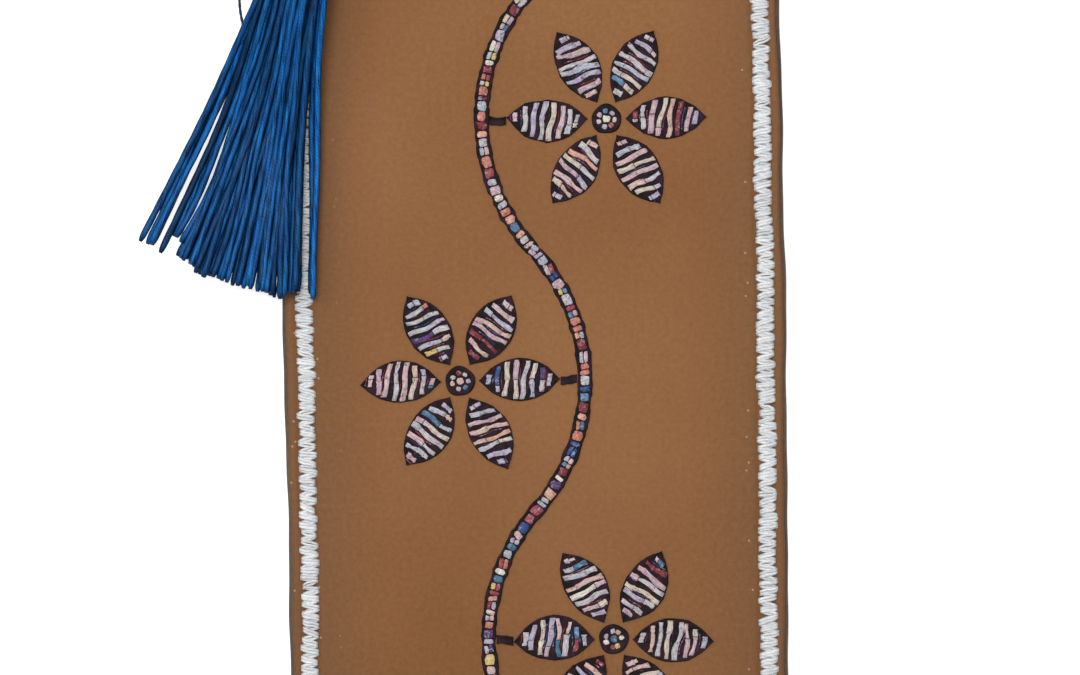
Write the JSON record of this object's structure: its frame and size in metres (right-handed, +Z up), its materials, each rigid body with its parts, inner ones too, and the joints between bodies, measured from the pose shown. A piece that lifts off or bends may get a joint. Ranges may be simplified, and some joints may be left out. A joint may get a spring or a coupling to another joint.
{
  "type": "leather bookmark with tassel",
  "caption": "Flat layered leather bookmark with a zigzag-stitched border, a cut-paper flower collage and a silky tassel on a cord looped through a hole near its top.",
  "frame": {"origin": "middle of the flat back face", "axes": "+X to the right across the width, +Y along the length towards the tassel hole, +Z up out of the face"},
  "size_m": [0.0648, 0.2021, 0.0105],
  "materials": {
    "face_leather": "matte mid-brown leather with a fine grain",
    "backing_leather": "dark brown leather, raw cut edge",
    "seam_thread": "soft white multifilament thread",
    "collage_ground": "black painted paper",
    "collage_paper": "cut strips of pink, lilac and grey paper",
    "tassel_cord": "silky twisted navy cord",
    "tassel_yarn": "silky blue viscose yarn"
  },
  "bodies": {
    "panel": {"front_leather": "face_leather", "backing_leather": "backing_leather", "seam_left": "seam_thread", "seam_right": "seam_thread", "seam_top": "seam_thread", "seam_bottom": "seam_thread", "bobbin_left": "seam_thread", "bobbin_right": "seam_thread", "bobbin_top": "seam_thread", "bobbin_bottom": "seam_thread", "flower_1_ground": "collage_ground", "flower_1_paper": "collage_paper", "flower_2_ground": "collage_ground", "flower_2_paper": "collage_paper", "flower_3_ground": "collage_ground", "flower_3_paper": "collage_paper", "flower_4_ground": "collage_ground", "flower_4_paper": "collage_paper", "flower_5_ground": "collage_ground", "flower_5_paper": "collage_paper", "flower_6_ground": "collage_ground", "flower_6_paper": "collage_paper", "stem_ground": "collage_ground", "stem_paper": "collage_paper"},
    "cord": {"hanging_cord": "tassel_cord", "cord_knot": "tassel_cord"},
    "tassel": {"tassel_head": "tassel_yarn", "neck_binding": "tassel_yarn", "tassel_skirt": "tassel_yarn", "stray_thread": "tassel_yarn"}
  },
  "joints": [
    {"name": "cord_lift", "type": "hinge", "parent": "panel", "child": "cord", "pos_m": [0, 0.089, 0.004], "axis": [-1, 0, 0], "range_deg": [0, 175], "deforming": ["hanging_cord"]},
    {"name": "tassel_swing", "type": "hinge", "parent": "cord", "child": "tassel", "pos_m": [-0.0188, 0.0437, 0.00652], "axis": [0, 0, 1], "range_deg": [-60, 60]}
  ]
}
